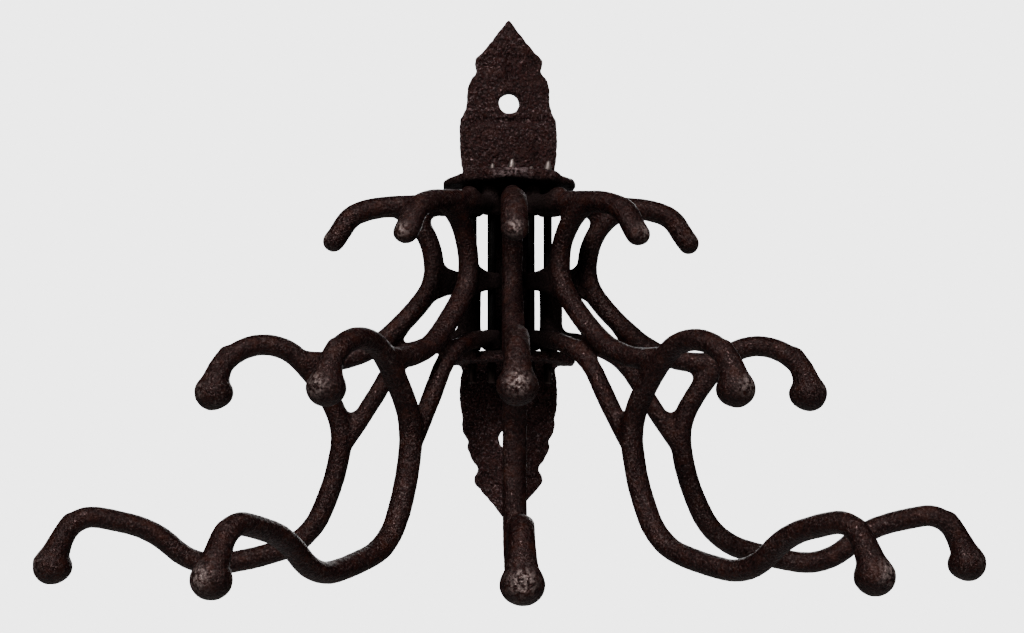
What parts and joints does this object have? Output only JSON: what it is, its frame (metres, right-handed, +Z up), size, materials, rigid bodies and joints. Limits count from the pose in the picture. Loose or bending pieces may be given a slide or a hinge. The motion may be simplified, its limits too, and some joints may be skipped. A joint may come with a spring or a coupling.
{
  "type": "wall-mounted swivel coat rack",
  "caption": "Cast-iron wall rack: a leaf-ended wall plate with two half-round shelves holds swinging arms with hooks that turn on upright rods.",
  "frame": {"origin": "on the wall face of the plate, on its centre line, midway between the two shelves", "axes": "+X to the right seen from the front, +Y into the wall, +Z up; the arms stand out towards -Y"},
  "size_m": [0.3665, 0.1939, 0.2263],
  "materials": {
    "plate_iron": "sand-cast, dark brown-black, satin",
    "arm_iron": "sand-cast, dark brown-black with rusty tint, worn at the tips",
    "rod_steel": "dark oxidised steel rod"
  },
  "bodies": {
    "rack": {"wall_plate": "plate_iron", "pivot_rod_far_left": "rod_steel", "pivot_rod_left": "rod_steel", "pivot_rod_centre": "rod_steel", "pivot_rod_right": "rod_steel", "pivot_rod_far_right": "rod_steel"},
    "arm_far_left": {"arm_far_left": "arm_iron"},
    "arm_left": {"arm_left": "arm_iron"},
    "arm_centre": {"arm_centre": "arm_iron"},
    "arm_right": {"arm_right": "arm_iron"},
    "arm_far_right": {"arm_far_right": "arm_iron"}
  },
  "joints": [
    {"name": "swing_far_left", "type": "hinge", "parent": "rack", "child": "arm_far_left", "pos_m": [-0.01501, -0.01459, 0], "axis": [0, 0, 1], "range_deg": [-11, 15]},
    {"name": "swing_left", "type": "hinge", "parent": "rack", "child": "arm_left", "pos_m": [-0.00772, -0.02122, 0], "axis": [0, 0, 1], "range_deg": [-18, 14]},
    {"name": "swing_centre", "type": "hinge", "parent": "rack", "child": "arm_centre", "pos_m": [0, -0.023, 0], "axis": [0, 0, 1], "range_deg": [-14, 18]},
    {"name": "swing_right", "type": "hinge", "parent": "rack", "child": "arm_right", "pos_m": [0.00772, -0.02122, 0], "axis": [0, 0, 1], "range_deg": [-19, 13]},
    {"name": "swing_far_right", "type": "hinge", "parent": "rack", "child": "arm_far_right", "pos_m": [0.01501, -0.01459, 0], "axis": [0, 0, 1], "range_deg": [-16, 10]}
  ]
}
